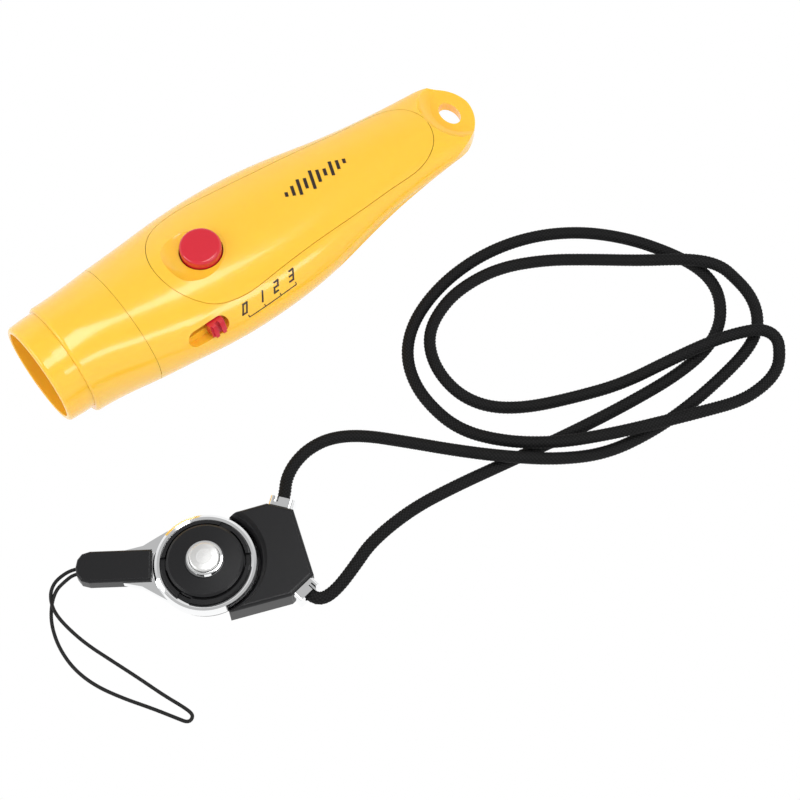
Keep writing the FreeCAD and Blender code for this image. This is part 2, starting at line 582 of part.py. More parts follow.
NECK = [(exits[0][0].x, exits[0][0].y, 3.35), (exits[0][0].x + exits[0][1].x * 4.0, exits[0][0].y + exits[0][1].y * 4.0, 3.35),
        (-35.1, -56.7, 2.0), (-30.7, -54.3, 1.7), (-25.3, -53.3, 1.7), (-19.0, -54.4, 1.7),
        (-12.3, -58.8, 1.7), (-4.7, -67.2, 1.7), (3.2, -77.5, 3.4), (11.0, -87.1, 5.6), (21.3, -96.2, 5.4), (33.3, -101.5, 1.7),
        (46.1, -104.1, 1.7), (59.1, -104.6, 1.7), (72.0, -103.6, 1.7), (82.1, -102.0, 1.7), (88.4, -99.1, 1.7), (92.1, -94.7, 1.7),
        (93.9, -89.8, 1.7), (94.2, -84.8, 1.7), (91.9, -79.6, 5.4), (86.8, -73.3, 5.4), (78.2, -64.5, 1.7), (68.1, -56.1, 1.7),
        (57.8, -48.1, 1.7), (46.1, -42.2, 1.7), (33.9, -40.9, 1.7), (25.0, -43.1, 1.7), (19.0, -46.9, 1.7), (15.5, -52.6, 1.7),
        (14.1, -59.4, 1.7), (14.9, -66.7, 1.7), (18.7, -73.4, 1.7), (26.2, -79.2, 1.7), (37.5, -84.4, 1.7), (49.7, -89.1, 1.7),
        (62.2, -92.7, 5.4), (74.6, -95.3, 5.5), (82.9, -98.3, 5.5), (87.8, -101.1, 5.4), (89.5, -105.0, 4.2), (87.4, -108.5, 1.8),
        (84.1, -111.0, 1.7), (78.9, -112.3, 1.7), (70.8, -112.0, 1.8), (59.3, -109.1, 5.6), (47.2, -104.0, 5.6), (35.4, -98.6, 5.4),
        (23.9, -92.4, 5.5), (13.9, -84.1, 5.4), (7.8, -72.8, 1.8), (6.4, -60.7, 1.7), (8.7, -51.3, 1.7), (13.8, -44.4, 1.7),
        (22.3, -39.3, 1.7), (34.4, -36.4, 1.7), (47.5, -36.7, 1.7), (60.1, -40.4, 1.7), (71.2, -47.4, 1.7), (80.0, -57.1, 1.7),
        (85.9, -67.7, 1.7), (88.7, -75.8, 1.7), (88.5, -82.2, 1.7), (85.8, -87.6, 1.7), (80.8, -92.4, 1.7), (72.9, -95.5, 1.7),
        (61.7, -95.9, 1.7), (48.8, -94.5, 1.7), (35.9, -92.5, 1.7), (23.2, -90.1, 1.7), (10.4, -87.4, 1.7), (-2.3, -84.7, 1.7),
        (-15.1, -82.7, 1.7), (-28.2, -83.3, 1.7), (-36.0, -86.0, 1.7), (-42.3, -87.9, 1.8), (-46.9, -88.3, 2.4),
        (exits[1][0].x + exits[1][1].x * 3.3, exits[1][0].y + exits[1][1].y * 3.3, 3.1), (exits[1][0].x, exits[1][0].y, 3.35)]
print("NECK ends", NECK[0], NECK[1], NECK[-2], NECK[-1])
print("LOOP ends", LOOP[0], LOOP[1], LOOP[-2], LOOP[-1])
feature("neck_cord", arc_tube(NECK, num("neck_cord_diameter"), "neck_cord"))
feature("loop_cord", arc_tube(LOOP, num("loop_cord_diameter"), "loop_cord"))

# ------------------------------------------------------------- outer envelope
outer_loft = feature("housing_envelope", envelope(0.0, 0, 15))
inner_loft = feature("housing_cavity", envelope(num("wall"), 0, 12).common(
    Part.makeBox(98.2, 60, 60, Vector(-60.0, -30, -10))))

# plan outline of the tail
half = [(-66, 30), (44.0, 30)]
tail_pts = [Vector(44.0, 30, 0), Vector(50.0, 16.0, 0)]
outline = [(52.0, 13.4), (56.0, 12.25), (59.5, 11.45), (62.5, 10.4), (65.0, 8.95), (67.2, 6.9), (68.9, 4.3), (69.8, 1.6)]
up = [Vector(x, y, 0) for x, y in outline]
dn = [Vector(x, -y, 0) for x, y in reversed(outline)]
curve = Part.BSplineCurve()
curve.interpolate(Points=up + [Vector(70.0, 0, 0)] + dn)
edges = [curve.toShape(),
         Part.makeLine(dn[-1], Vector(52.0, -30, 0)), Part.makeLine(Vector(52.0, -30, 0), Vector(-70, -30, 0)),
         Part.makeLine(Vector(-70, -30, 0), Vector(-70, 30, 0)), Part.makeLine(Vector(-70, 30, 0), Vector(52.0, 30, 0)),
         Part.makeLine(Vector(52.0, 30, 0), up[0])]
plan = feature("tail_plan", Part.Face(Part.Wire(Part.__sortEdges__(edges))).extrude(Vector(0, 0, 45)))


def scoop(name, z_flat, z_edge, r_flat, r_edge, upward):
    """Turned cutter that thins the tail to the tab round the eye."""
    p = [Vector(0, 0, z_flat), Vector(r_flat, 0, z_flat)]
    mid = Vector(r_flat + (r_edge - r_flat) * 0.72, 0, z_flat + (z_edge - z_flat) * 0.34)
    arc = Part.Arc(p[1], mid, Vector(r_edge, 0, z_edge)).toShape()
    far = z_edge + (14 if upward else -14)
    w = Part.Wire([Part.makeLine(p[0], p[1]), arc,
                   Part.makeLine(Vector(r_edge, 0, z_edge), Vector(r_edge, 0, far)),
                   Part.makeLine(Vector(r_edge, 0, far), Vector(0, 0, far)),
                   Part.makeLine(Vector(0, 0, far), p[0])])
    s = Part.Face(w).revolve(Vector(0, 0, 0), Vector(0, 0, 1), 360)
    return feature(name, s, Placement(Vector(num("eye_x") + 4.2, 0, 0), Rotation()))


dim("tab_top", 10.1)
dim("tab_bottom", 6.9)
sheet.recompute()
scoop_top = scoop("scoop_top", num("tab_top"), 16.0, 8.6, 12.8, True)
scoop_low = scoop("scoop_low", num("tab_bottom"), 2.2, 8.2, 15.0, False)

# shallow scallop along each flank
ball = Part.makeSphere(1.0)
mat = FreeCAD.Matrix()
mat.scale(27.0, 6.0, 5.2)
flank = ball.transformGeometry(mat)
flank_neg = feature("flank_hollow_front", flank, Placement(Vector(32.0, -19.6, 7.2), Rotation(Vector(0, 0, 1), 7.5)))
flank_pos = feature("flank_hollow_back", flank.copy(), Placement(Vector(32.0, 19.6, 7.2), Rotation(Vector(0, 0, 1), -7.5)))

above_table = box("above_table", -80, 90, -40, 40, 0, 60)
raw = boolean("common", "housing_blank", outer_loft, [plan])
body_solid = boolean("cut", "housing_solid", raw, [scoop_top, scoop_low, flank_neg, flank_pos])

# ------------------------------------------------------------------ collar
collar_zone = box("collar_zone", -66, -44.55, -40, 40, -5, 45)
plug_loft = feature("collar_plug_loft", envelope(num("wall") + 0.12, 0, 6))
collar_plug = boolean("common", "collar_plug", plug_loft, [box("collar_plug_zone", -46.5, -40.6, -40, 40, -5, 45)])
collar_cut = boolean("common", "collar_blank", outer_loft, [collar_zone])
collar_cut = boolean("fuse", "collar_with_plug", collar_cut, [collar_plug])
rear_cavity = feature("collar_rear_cavity", envelope(num("lip_depth"), 0, 12).common(
    Part.makeBox(9.5, 80, 50, Vector(-48.5, -40, -5))))
for tag, tool in (("front", cyl("collar_bore_front", 0, num("axis_height"), -63.5, -56.9, 13.25, "x")),
                  ("driver", cyl("collar_bore_driver", 0, num("axis_height"), -57.0, -50.4, 11.5, "x")),
                  ("throat", cyl("collar_bore_throat", 0, num("axis_height"), -50.5, -48.4, 10.9, "x")),
                  ("rear", rear_cavity)):
    collar_cut = boolean("cut", "collar_cut_" + tag, collar_cut, [tool])
doc.recompute()
collar_round = doc.addObject("Part::Fillet", "collar_round")
collar_round.Base = collar_cut
collar_round.Edges = [(i + 1, 1.0, 1.0) for i, e in enumerate(collar_cut.Shape.Edges)
                      if e.BoundBox.XMax < -62.6 and e.BoundBox.ZLength > 29]
front_cap = boolean("common", "front_cap", collar_round, [above_table])

# --------------------------------------------------------- keyhole cover line
seam = [(-32.1, 0.0), (-31.0, 6.0), (-28.4, 10.4), (-24.2, 13.9), (-19.4, 15.3), (-14.0, 15.65), (-6.8, 15.0),
        (1.1, 14.2), (9.2, 13.5), (23.2, 12.5), (37.2, 11.3), (44.9, 10.6), (49.4, 9.1), (53.1, 6.3), (54.8, 3.1), (55.3, 0.0)]
for i, (x, y) in enumerate(seam):
    dim("seam_x_" + "abcdefghijklmnop"[i], x)
    dim("seam_y_" + "abcdefghijklmnop"[i], y)
sheet.recompute()
seam = [(num("seam_x_" + k), num("seam_y_" + k)) for k in "abcdefghijklmnop"]


def keyhole(grow, z0, z1):
    """Prism of the cover's outline, its points moved out by grow along the normals."""
    ring = seam + [(x, -y) for x, y in reversed(seam[1:-1])]
    n = len(ring)
    pts = []
    for i, (x, y) in enumerate(ring):
        (xa, ya), (xb, yb) = ring[i - 1], ring[(i + 1) % n]
        tx, ty = xb - xa, yb - ya
        size = math.hypot(tx, ty)
        pts.append(Vector(x - ty / size * grow, y + tx / size * grow, z0))
    c = Part.BSplineCurve()
    c.interpolate(Points=pts, PeriodicFlag=True)
    return Part.Face(Part.Wire([c.toShape()])).extrude(Vector(0, 0, z1 - z0))


key_open = feature("keyhole_opening", keyhole(num("gap_seam"), 11.5, 45))
key_cover = feature("keyhole_cover", keyhole(-num("gap_seam"), 11.6, 45))

# -------------------------------------------------------------- lower shell
shell_zone = box("shell_zone", -44.45, 75, -40, 40, -5, 45)
shell_blank = boolean("common", "shell_blank", body_solid, [shell_zone])
main_cavity = feature("main_cavity", inner_loft.Shape.copy())
tail_cavity = box("tail_cavity", 38.1, 51.5, -7.0, 7.0, 5.2, 12.2)

switch_pad = boolean("common", "switch_pad", box("switch_pad_block", -37.4, -21.2, 1.0, 3.8, -3.9, 3.9, SW), [body_solid])


def stadium(name, x0, x1, h, y0, y1, place):
    """Round-ended slot cutter: two cylinders and a box along the slide."""
    b = box(name + "_middle", x0 + h / 2, x1 - h / 2, y0, y1, -h / 2, h / 2, place)
    ends = []
    for tag, x in (("near", x0 + h / 2), ("far", x1 - h / 2)):
        c = doc.addObject("Part::Cylinder", name + "_" + tag)
        c.setExpression("Radius", dim(name + "_end_radius", h / 2))
        c.setExpression("Height", dim(name + "_reach", y1 - y0))
        c.Placement = place.multiply(Placement(Vector(x, y0, 0), Rotation(Vector(1, 0, 0), -90)))
        ends.append(c)
    return boolean("fuse", name, b, ends)


slot_recess = stadium("slot_recess", -35.2, -23.45, 4.7, -8.0, 2.1, SW)
slot_slit = box("slot_slit", -33.95, -24.65, -17.4, -12.0, 15.95, 18.05)
door_open = box("door_opening", -31.2, 26.2, -11.6, 11.6, -2, 6.2)
screw_posts, screw_holes, cover_posts, cover_pilots = [], [], [], []
for tag, x in (("mid", 33.0), ("tail", 47.0)):
    screw_posts.append(boolean("common", "post_" + tag, cyl("post_blank_" + tag, x, 0, 0, 8.4, 3.0), [body_solid]))
    screw_holes.append(cyl("head_well_" + tag, x, 0, -1, 5.2, 2.2))
    screw_holes.append(cyl("screw_hole_" + tag, x, 0, 5.0, 9.0, 1.2))
    cover_posts.append(boolean("common", "cover_post_" + tag, cyl("cover_post_blank_" + tag, x, 0, 8.6, 22, 2.7), [body_solid]))
    cover_pilots.append(cyl("cover_pilot_" + tag, x, 0, 8.0, 13.2, 0.95))
# room round the cover's posts
post_room = [cyl("post_room_" + t, x, 0, 8.45, 30, 3.1) for t, x in (("mid", 33.0), ("tail", 47.0))]
eye = Part.Ellipse(Vector(0, 0, 0), num("eye_long") / 2, num("eye_short") / 2)
eye_face = Part.Face(Part.Wire([eye.toShape()])).extrude(Vector(0, 0, 30))
eye_cut = feature("lanyard_eye", eye_face, Placement(Vector(num("eye_x"), 0, 0), Rotation(Vector(0, 0, 1), 90)))

shell_a = boolean("cut", "shell_hollow", shell_blank, [main_cavity, tail_cavity])
shell_b = boolean("fuse", "shell_with_posts", shell_a, screw_posts + [switch_pad])
shell_c = boolean("cut", "shell_open", shell_b, [key_open])
shell_e = shell_c
for tag, tool in [("recess", slot_recess), ("slit", slot_slit), ("door", door_open), ("eye", eye_cut)]:
    shell_e = boolean("cut", "shell_cut_" + tag, shell_e, [tool])
shell_f = boolean("cut", "shell_drilled", shell_e, screw_holes + post_room)
lower_shell = boolean("common", "lower_shell", shell_f, [above_table])

# ----------------------------------------------------------------- top cover
cover_blank = boolean("common", "cover_blank", body_solid, [key_cover])
cover_hollow = boolean("cut", "cover_hollow", cover_blank, [main_cavity])
cover_full = boolean("fuse", "cover_with_posts", cover_hollow, cover_posts)


def dish():
    """Shallow round dish that surrounds the button."""
    c, r, z = num("button_x"), 10.0, 22.85
    p0, p1 = Vector(0, 0, z), Vector(5.9, 0, z)
    a = Part.Arc(p1, Vector(8.4, 0, z + 0.42), Vector(10.4, 0, z + 1.6)).toShape()
    w = Part.Wire([Part.makeLine(p0, p1), a, Part.makeLine(Vector(10.4, 0, z + 1.6), Vector(10.4, 0, z + 9)),
                   Part.makeLine(Vector(10.4, 0, z + 9), Vector(0, 0, z + 9)), Part.makeLine(Vector(0, 0, z + 9), p0)])
    return Part.Face(w).revolve(Vector(0, 0, 0), Vector(0, 0, 1), 360)


dish_cut = feature("button_dish", dish(), Placement(Vector(num("button_x"), 0, 0), Rotation()))
button_hole = cyl("button_hole", num("button_x"), 0, 15, 30, 5.75)
flange_room = cyl("flange_room", num("button_x"), 0, 15, 20.6, 6.8)
top_cover = boolean("cut", "top_cover", cover_full, [dish_cut, button_hole, flange_room] + cover_pilots)

# -------------------------------------------------------------- battery door
door_block = box("door_block", -31.0, 26.0, -11.4, 11.4, -1, 6.0)
door_skin = boolean("common", "door_skin", body_solid, [door_block])
door_thin = boolean("cut", "door_thin", door_skin, [main_cavity])
door_boss = boolean("common", "door_boss", cyl("door_boss_blank", 22.6, 0, 0, 3.1, 3.0), [body_solid])
door_full = boolean("fuse", "door_full", door_thin, [door_boss])
grips = [box("door_grip_%s" % k, 3.0 + 2.6 * i, 4.2 + 2.6 * i, -6.5, 6.5, -1.0, 0.55) for i, k in enumerate(("one", "two", "three", "four", "five"))]
door_well = cyl("door_screw_well", 22.6, 0, -1, 1.6, 2.25)
door_hole = cyl("door_screw_hole", 22.6, 0, 1.5, 4.0, 1.15)
door_cut = boolean("cut", "door_cut", door_full, [door_well, door_hole] + grips)
battery_door = boolean("common", "battery_door", door_cut, [above_table])

doc.recompute()
print("recomputed", flush=True)

# ------------------------------------------------------------------- output
NODES = ["nose_ring", "front_cap", "lower_shell", "top_cover", "push_button", "slide_knob", "horn_cone", "speaker_guard",
         "speaker_gasket", "speaker_driver", "speaker_leads", "circuit_board", "board_components", "tact_switch", "tact_plunger",
         "slide_switch_can", "slide_switch_slider", "battery_tray", "batteries", "battery_springs", "battery_contacts",
         "battery_door", "door_screw", "case_screws",
         "clamp_lower", "clamp_upper", "cord_ferrules", "hub_disc", "button_collar", "release_button", "release_spring",
         "liner_ring", "clasp_ring", "tag_lower", "tag_upper", "tag_pin", "loop_cord", "neck_cord"]
bad = [o.Label for o in doc.Objects if "Invalid" in o.State or "Error" in o.State]
if bad:
    raise RuntimeError("failed features: %s" % bad)
os.makedirs("parts", exist_ok=True)
for n in NODES:
    found = [o for o in doc.Objects if o.Label == n and hasattr(o, "Shape")]
    if len(found) != 1:
        raise RuntimeError("%s: %d objects" % (n, len(found)))
    s = found[0].Shape
    if s.isNull() or not s.isValid() or not s.Solids:
        raise RuntimeError("bad shape " + n)
    print("%-22s solids %d volume %9.2f box %s" % (n, len(s.Solids), s.Volume, [round(v, 2) for v in (
        s.BoundBox.XMin, s.BoundBox.XMax, s.BoundBox.YMin, s.BoundBox.YMax, s.BoundBox.ZMin, s.BoundBox.ZMax)]))
    s.exportStep("parts/%s.step" % n)
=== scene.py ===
import bpy
import json
import math
import random
import numpy as np
from mathutils import Matrix, Vector


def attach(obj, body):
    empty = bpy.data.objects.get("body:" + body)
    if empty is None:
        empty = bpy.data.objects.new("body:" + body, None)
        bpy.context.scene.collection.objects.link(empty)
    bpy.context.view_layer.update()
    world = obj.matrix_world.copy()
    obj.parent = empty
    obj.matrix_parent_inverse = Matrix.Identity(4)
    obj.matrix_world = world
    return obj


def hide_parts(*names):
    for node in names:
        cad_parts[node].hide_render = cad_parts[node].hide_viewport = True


random.seed(7)
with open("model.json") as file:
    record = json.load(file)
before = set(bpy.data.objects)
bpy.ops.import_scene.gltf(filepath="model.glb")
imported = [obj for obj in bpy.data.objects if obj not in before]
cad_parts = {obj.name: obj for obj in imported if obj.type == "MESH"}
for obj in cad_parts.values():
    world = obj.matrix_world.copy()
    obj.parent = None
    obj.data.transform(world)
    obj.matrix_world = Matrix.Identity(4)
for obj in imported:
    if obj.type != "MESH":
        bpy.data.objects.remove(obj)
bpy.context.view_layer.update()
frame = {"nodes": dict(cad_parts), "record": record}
nodes = frame["nodes"]
scene = bpy.context.scene
MM = 0.001

# ----------------------------------------------------------------- materials


def principled(name, color, rough=0.4, metal=0.0, coat=0.0, coat_rough=0.05, spec=0.5, sss=0.0, sss_radius=None, sss_scale=0.002,
               bump=0.0, bump_scale=4000.0, detail=2.0, ior=1.5, rough_var=0.0):
    """A Principled material with object-space noise for its surface, set straight on the sockets."""
    m = bpy.data.materials.new(name)
    m.use_nodes = True
    nt = m.node_tree
    b = nt.nodes["Principled BSDF"]
    b.inputs["Base Color"].default_value = (*color, 1)
    b.inputs["Roughness"].default_value = rough
    b.inputs["Metallic"].default_value = metal
    b.inputs["IOR"].default_value = ior
    b.inputs["Coat Weight"].default_value = coat
    b.inputs["Coat Roughness"].default_value = coat_rough
    b.inputs["Specular IOR Level"].default_value = spec
    if sss:
        b.inputs["Subsurface Weight"].default_value = sss
        b.inputs["Subsurface Radius"].default_value = sss_radius or (1.0, 0.4, 0.1)
        b.inputs["Subsurface Scale"].default_value = sss_scale
    if bump or rough_var:
        tc = nt.nodes.new("ShaderNodeTexCoord")
        no = nt.nodes.new("ShaderNodeTexNoise")
        no.inputs["Scale"].default_value = bump_scale
        no.inputs["Detail"].default_value = detail
        nt.links.new(tc.outputs["Object"], no.inputs["Vector"])
        if bump:
            bu = nt.nodes.new("ShaderNodeBump")
            bu.inputs["Strength"].default_value = bump
            bu.inputs["Distance"].default_value = 0.00002
            nt.links.new(no.outputs["Fac"], bu.inputs["Height"])
            nt.links.new(bu.outputs["Normal"], b.inputs["Normal"])
        if rough_var:
            mr = nt.nodes.new("ShaderNodeMapRange")
            mr.inputs["To Min"].default_value = max(0.0, rough - rough_var)
            mr.inputs["To Max"].default_value = rough + rough_var
            nt.links.new(no.outputs["Fac"], mr.inputs["Value"])
            nt.links.new(mr.outputs["Result"], b.inputs["Roughness"])
    return m


YELLOW = principled("m_yellow", (1.0, 0.555, 0.04), rough=0.19, coat=0.35, coat_rough=0.05, sss=0.3, sss_radius=(1.0, 0.45, 0.08), sss_scale=0.0022, bump=0.06, bump_scale=380.0)
# darker, more orange copy of the yellow for the horn cone inside the mouth: painted shade
YELLOW_IN_SHADED = principled("m_yellow_inside_painted_shade", (1.0, 0.50, 0.035), rough=0.32, sss=0.3, sss_radius=(1.0, 0.45, 0.08), sss_scale=0.002)
RED = principled("m_red", (0.62, 0.012, 0.03), rough=0.2, coat=0.3, coat_rough=0.05, sss=0.12, sss_radius=(1.0, 0.1, 0.1), sss_scale=0.0012, bump=0.05, bump_scale=700.0)
BLACK = principled("m_black_plastic", (0.008, 0.008, 0.009), rough=0.33, spec=0.3, bump=0.35, bump_scale=5200.0, rough_var=0.05)
DARK = principled("m_dark_plastic", (0.03, 0.03, 0.032), rough=0.5)
RUBBER = principled("m_rubber", (0.025, 0.025, 0.025), rough=0.8)
STEEL = principled("m_steel", (0.62, 0.61, 0.6), rough=0.28, metal=1.0)
CHROME = principled("m_chrome", (0.95, 0.955, 0.96), rough=0.05, metal=1.0, rough_var=0.02, bump_scale=900.0)
SATIN = principled("m_satin_metal", (0.86, 0.86, 0.85), rough=0.36, metal=1.0, bump=0.15, bump_scale=3500.0)
BOARD = principled("m_board", (0.02, 0.16, 0.06), rough=0.4)
WIRE = principled("m_wire", (0.5, 0.02, 0.02), rough=0.4)
CELL = principled("m_cell", (0.06, 0.07, 0.09), rough=0.25, metal=0.3)
CORD = principled("m_cord", (0.005, 0.005, 0.0055), rough=0.6, spec=0.17, bump=0.6, bump_scale=9000.0)
THIN = principled("m_thin_cord", (0.004, 0.004, 0.0045), spec=0.3, rough=0.55, bump=0.5, bump_scale=12000.0)
# cord base colour runs from near black in the valleys between yarns to dark grey on the yarn ridges: painted shade in
# the braid's valleys
for m, low, high in ((CORD, 0.0002, 0.013), (THIN, 0.0006, 0.008)):
    nt = m.node_tree
    yarn = nt.nodes.new("ShaderNodeAttribute")
    yarn.attribute_name = "yarn"
    valley_shade_mix = nt.nodes.new("ShaderNodeMix")
    valley_shade_mix.data_type = "RGBA"
    valley_shade_mix.inputs[6].default_value = (low, low, low, 1)
    valley_shade_mix.inputs[7].default_value = (high, high, high * 1.04, 1)
    nt.links.new(yarn.outputs["Fac"], valley_shade_mix.inputs[0])
    nt.links.new(valley_shade_mix.outputs[2], nt.nodes["Principled BSDF"].inputs["Base Color"])
INK = principled("m_ink", (0.022, 0.008, 0.004), rough=0.38)

LOOK = {"yellow_shell": YELLOW, "red_plastic": RED, "dark_plastic": DARK, "soft_rubber": RUBBER, "steel": STEEL,
        "lead_insulation": WIRE, "board_green": BOARD, "battery_wrap": CELL, "black_plastic": BLACK, "bright_chrome": CHROME,
        "satin_metal": SATIN, "black_cord": CORD}
for s in frame["record"]["subparts"]:
    o = nodes[s["node"]]
    # the horn cone takes the darker yellow copy: painted shade inside the mouth
    mat = YELLOW_IN_SHADED if s["node"] == "horn_cone" else LOOK[s["material_slot"]]
    for slot in o.material_slots:
        slot.link = "OBJECT"
        slot.material = mat

# ------------------------------------------------------------------- cords
NECK = [(-41.5716, -63.1000, 3.35), (-38.4114, -60.6479, 3.35),
        (-35.1, -56.7, 2.0), (-30.7, -54.3, 1.7), (-25.3, -53.3, 1.7), (-19.0, -54.4, 1.7),
        (-12.3, -58.8, 1.7), (-4.7, -67.2, 1.7), (3.2, -77.5, 3.4), (11.0, -87.1, 5.6), (21.3, -96.2, 5.4), (33.3, -101.5, 1.7),
        (46.1, -104.1, 1.7), (59.1, -104.6, 1.7), (72.0, -103.6, 1.7), (82.1, -102.0, 1.7), (88.4, -99.1, 1.7), (92.1, -94.7, 1.7),
        (93.9, -89.8, 1.7), (94.2, -84.8, 1.7), (91.9, -79.6, 5.4), (86.8, -73.3, 5.4), (78.2, -64.5, 1.7), (68.1, -56.1, 1.7),
        (57.8, -48.1, 1.7), (46.1, -42.2, 1.7), (33.9, -40.9, 1.7), (25.0, -43.1, 1.7), (19.0, -46.9, 1.7), (15.5, -52.6, 1.7),
        (14.1, -59.4, 1.7), (14.9, -66.7, 1.7), (18.7, -73.4, 1.7), (26.2, -79.2, 1.7), (37.5, -84.4, 1.7), (49.7, -89.1, 1.7),
        (62.2, -92.7, 5.4), (74.6, -95.3, 5.5), (82.9, -98.3, 5.5), (87.8, -101.1, 5.4), (89.5, -105.0, 4.2), (87.4, -108.5, 1.8),
        (84.1, -111.0, 1.7), (78.9, -112.3, 1.7), (70.8, -112.0, 1.8), (59.3, -109.1, 5.6), (47.2, -104.0, 5.6), (35.4, -98.6, 5.4),
        (23.9, -92.4, 5.5), (13.9, -84.1, 5.4), (7.8, -72.8, 1.8), (6.4, -60.7, 1.7), (8.7, -51.3, 1.7), (13.8, -44.4, 1.7),
        (22.3, -39.3, 1.7), (34.4, -36.4, 1.7), (47.5, -36.7, 1.7), (60.1, -40.4, 1.7), (71.2, -47.4, 1.7), (80.0, -57.1, 1.7),
        (85.9, -67.7, 1.7), (88.7, -75.8, 1.7), (88.5, -82.2, 1.7), (85.8, -87.6, 1.7), (80.8, -92.4, 1.7), (72.9, -95.5, 1.7),
        (61.7, -95.9, 1.7), (48.8, -94.5, 1.7), (35.9, -92.5, 1.7), (23.2, -90.1, 1.7), (10.4, -87.4, 1.7), (-2.3, -84.7, 1.7),
        (-15.1, -82.7, 1.7), (-28.2, -83.3, 1.7), (-36.0, -86.0, 1.7), (-42.3, -87.9, 1.8), (-46.9, -88.3, 2.4),
        (-49.2036, -86.5574, 3.1), (-49.6691, -83.2904, 3.35)]
LOOP = [(-87.9008, -45.6402, 2.5), (-90.8132, -43.5242, 2.5),
        (-95.6, -42.9, 1.5), (-98.3, -43.9, 0.5), (-100.0, -46.4, 0.55), (-100.95, -50.0, 1.65), (-100.75, -54.5, 1.65), (-99.4, -60.8, 0.5),
        (-96.9, -68.2, 0.5), (-94.3, -75.8, 0.5), (-91.9, -83.4, 0.5), (-89.6, -89.4, 0.5), (-89.2, -91.9, 0.5), (-91.2, -92.6, 0.5), (-92.8, -89.8, 0.5),
        (-95.9, -84.4, 0.5), (-100.2, -77.6, 0.5), (-103.6, -71.0, 0.5), (-105.3, -64.4, 0.5), (-105.1, -57.6, 0.5),
        (-103.3, -51.6, 0.5), (-100.6, -47.5, 0.5), (-97.6, -44.9, 0.5), (-95.0, -44.6, 1.3),
        (-91.2538, -44.8110, 2.5), (-88.6649, -46.6920, 2.5)]


def route(name, points):
    """The route's smooth line: a NURBS spline with the route's points as its control points."""
    c = bpy.data.curves.new(name, "CURVE")
    c.dimensions = "3D"
    sp = c.splines.new("NURBS")
    sp.points.add(len(points) - 1)
    for p, q in zip(sp.points, points):
        p.co = (q[0] * MM, q[1] * MM, q[2] * MM, 1)
    sp.order_u = 3
    sp.use_endpoint_u = True
    sp.resolution_u = 24
    o = bpy.data.objects.new(name, c)
    scene.collection.objects.link(o)
    return o


def read_line(o):
    """The points of the smooth line as Blender evaluates it."""
    bpy.context.view_layer.update()
    me = bpy.data.meshes.new_from_object(o)
    pts = [v.co.copy() for v in me.vertices]
    nxt = {}
    for e in me.edges:
        a, b = e.vertices
        nxt.setdefault(a, []).append(b)
        nxt.setdefault(b, []).append(a)
    ends = [i for i, n in nxt.items() if len(n) == 1]
    at, prev, order = min(ends), None, []
    while at is not None:
        order.append(at)
        go = [n for n in nxt[at] if n != prev]
        prev, at = at, (go[0] if go else None)
    bpy.data.meshes.remove(me)
    return np.array([pts[i] for i in order])


def even(line, step):
    d = np.r_[0, np.cumsum(np.linalg.norm(np.diff(line, axis=0), axis=1))]
    n = max(2, int(round(d[-1] / step)))
    s = np.linspace(0, d[-1], n + 1)
    return np.stack([np.interp(s, d, line[:, k]) for k in range(3)], 1), d[-1]


def carried_frames(p):
    t = np.gradient(p, axis=0)
    t /= np.linalg.norm(t, axis=1)[:, None]
    n = np.zeros_like(p)
    ref = np.array([0, 0, 1.0])
    n[0] = ref - t[0] * ref.dot(t[0])
    n[0] /= np.linalg.norm(n[0])
    for i in range(1, len(p)):
        v = n[i - 1] - t[i] * n[i - 1].dot(t[i])
        n[i] = v / np.linalg.norm(v)
    return t, n, np.cross(t, n)


def mesh_object(name, verts, faces, mat, smooth=True):
    me = bpy.data.meshes.new(name)
    me.from_pydata([tuple(v) for v in verts], [], faces)
    me.update()
    if smooth:
        me.polygons.foreach_set("use_smooth", [True] * len(me.polygons))
    o = bpy.data.objects.new(name, me)
    scene.collection.objects.link(o)
    me.materials.append(mat)
    return o


def braided(name, line, radius, strands, pitch, mat, step, around=None, depth=0.10):
    """Round braid: a tube whose surface carries two families of crossing yarns, each yarn a low ridge that goes over and under."""
    p, length = even(line, step)
    t, n, b = carried_frames(p)
    around = around or strands * 5
    s = np.linspace(0, length, len(p))
    ang = np.arange(around) * 2 * np.pi / around
    A, S = np.meshgrid(ang, s)
    u = strands / 2 * (A + 2 * np.pi * S / pitch)
    v = strands / 2 * (A - 2 * np.pi * S / pitch)
    # height of a diagonal weave: each yarn family is up on alternate squares
    fu, fv = np.abs(np.cos(u)), np.abs(np.cos(v))
    relief = np.minimum(fu, 1) * np.minimum(fv, 1)
    r = radius * (1 - depth + depth * relief ** 0.6)
    verts = p[:, None, :] + (np.cos(A) * r)[..., None] * n[:, None, :] + (np.sin(A) * r)[..., None] * b[:, None, :]
    m = len(p)
    verts = verts.reshape(-1, 3)
    faces = []
    for i in range(m - 1):
        for j in range(around):
            k = (j + 1) % around
            faces.append((i * around + j, i * around + k, (i + 1) * around + k, (i + 1) * around + j))
    faces.append(tuple(range(around - 1, -1, -1)))
    faces.append(tuple((m - 1) * around + j for j in range(around)))
    o = mesh_object(name, verts, faces, mat)
    # the yarn relief is stored for the cord materials, which darken the valleys with it: painted shade
    at = o.data.attributes.new("yarn", "FLOAT", "POINT")
    at.data.foreach_set("value", (relief ** 1.1).reshape(-1).astype(np.float32))
    return o, p, length


